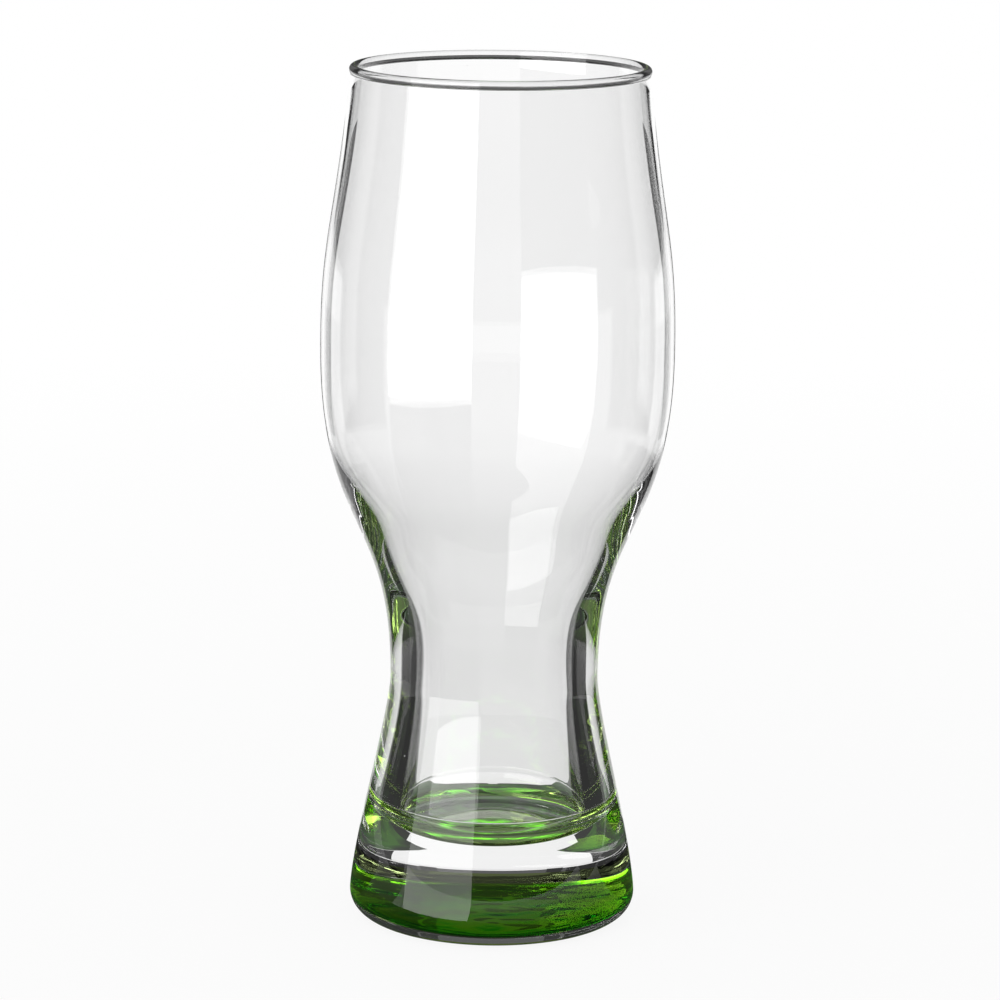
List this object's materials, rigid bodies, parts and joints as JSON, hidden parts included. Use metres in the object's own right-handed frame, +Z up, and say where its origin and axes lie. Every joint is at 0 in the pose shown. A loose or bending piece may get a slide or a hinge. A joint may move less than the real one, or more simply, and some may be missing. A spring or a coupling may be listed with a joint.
{
  "type": "pilsner glass",
  "caption": "Tall footed beer glass in clear glass, narrow at the waist and round at the belly, with a thick foot and a green colour coat under it.",
  "frame": {"origin": "centre of the ring that the glass stands on, in the plane of the table", "axes": "+Z up along the glass's axis, from the foot to the rim; X and Y are alike, because the glass is round"},
  "size_m": [0.0758, 0.0758, 0.185],
  "materials": {
    "clear_glass": "fire-polished, clear",
    "green_coat": "see-through green lacquer, gloss"
  },
  "bodies": {
    "root": {"glass_body": "clear_glass", "base_colour_coat": "green_coat"}
  },
  "joints": []
}
